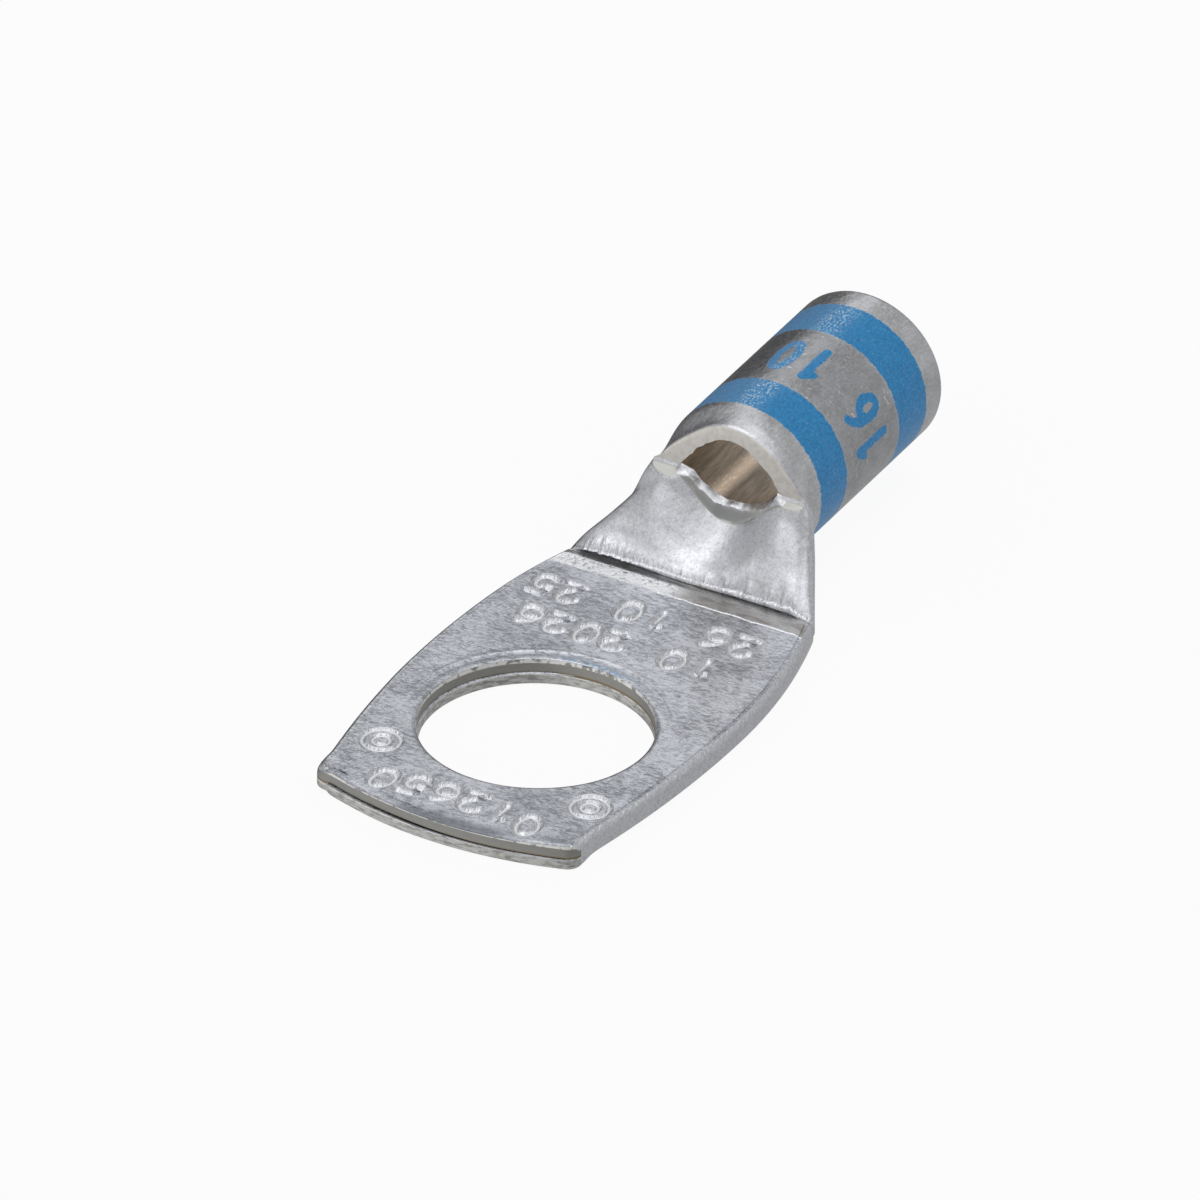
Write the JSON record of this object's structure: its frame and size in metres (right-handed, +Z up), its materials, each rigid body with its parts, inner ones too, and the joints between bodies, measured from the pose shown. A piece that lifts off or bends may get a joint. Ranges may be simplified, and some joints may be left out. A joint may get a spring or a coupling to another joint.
{
  "type": "ring terminal",
  "caption": "Ring terminal of the compression kind: a flat pad with a round stud hole, a pressed neck with a sight window, and a long round barrel for a stripped wire.",
  "frame": {"origin": "centre of the stud hole, on the underside of the pad", "axes": "+X from the hole towards the barrel's mouth, +Z up out of the pad's top face along the stud hole, +Y across the pad"},
  "size_m": [0.0385, 0.0152, 0.0082],
  "materials": {
    "tinned_copper": null
  },
  "bodies": {
    "root": {"lug": "tinned_copper"}
  },
  "joints": []
}
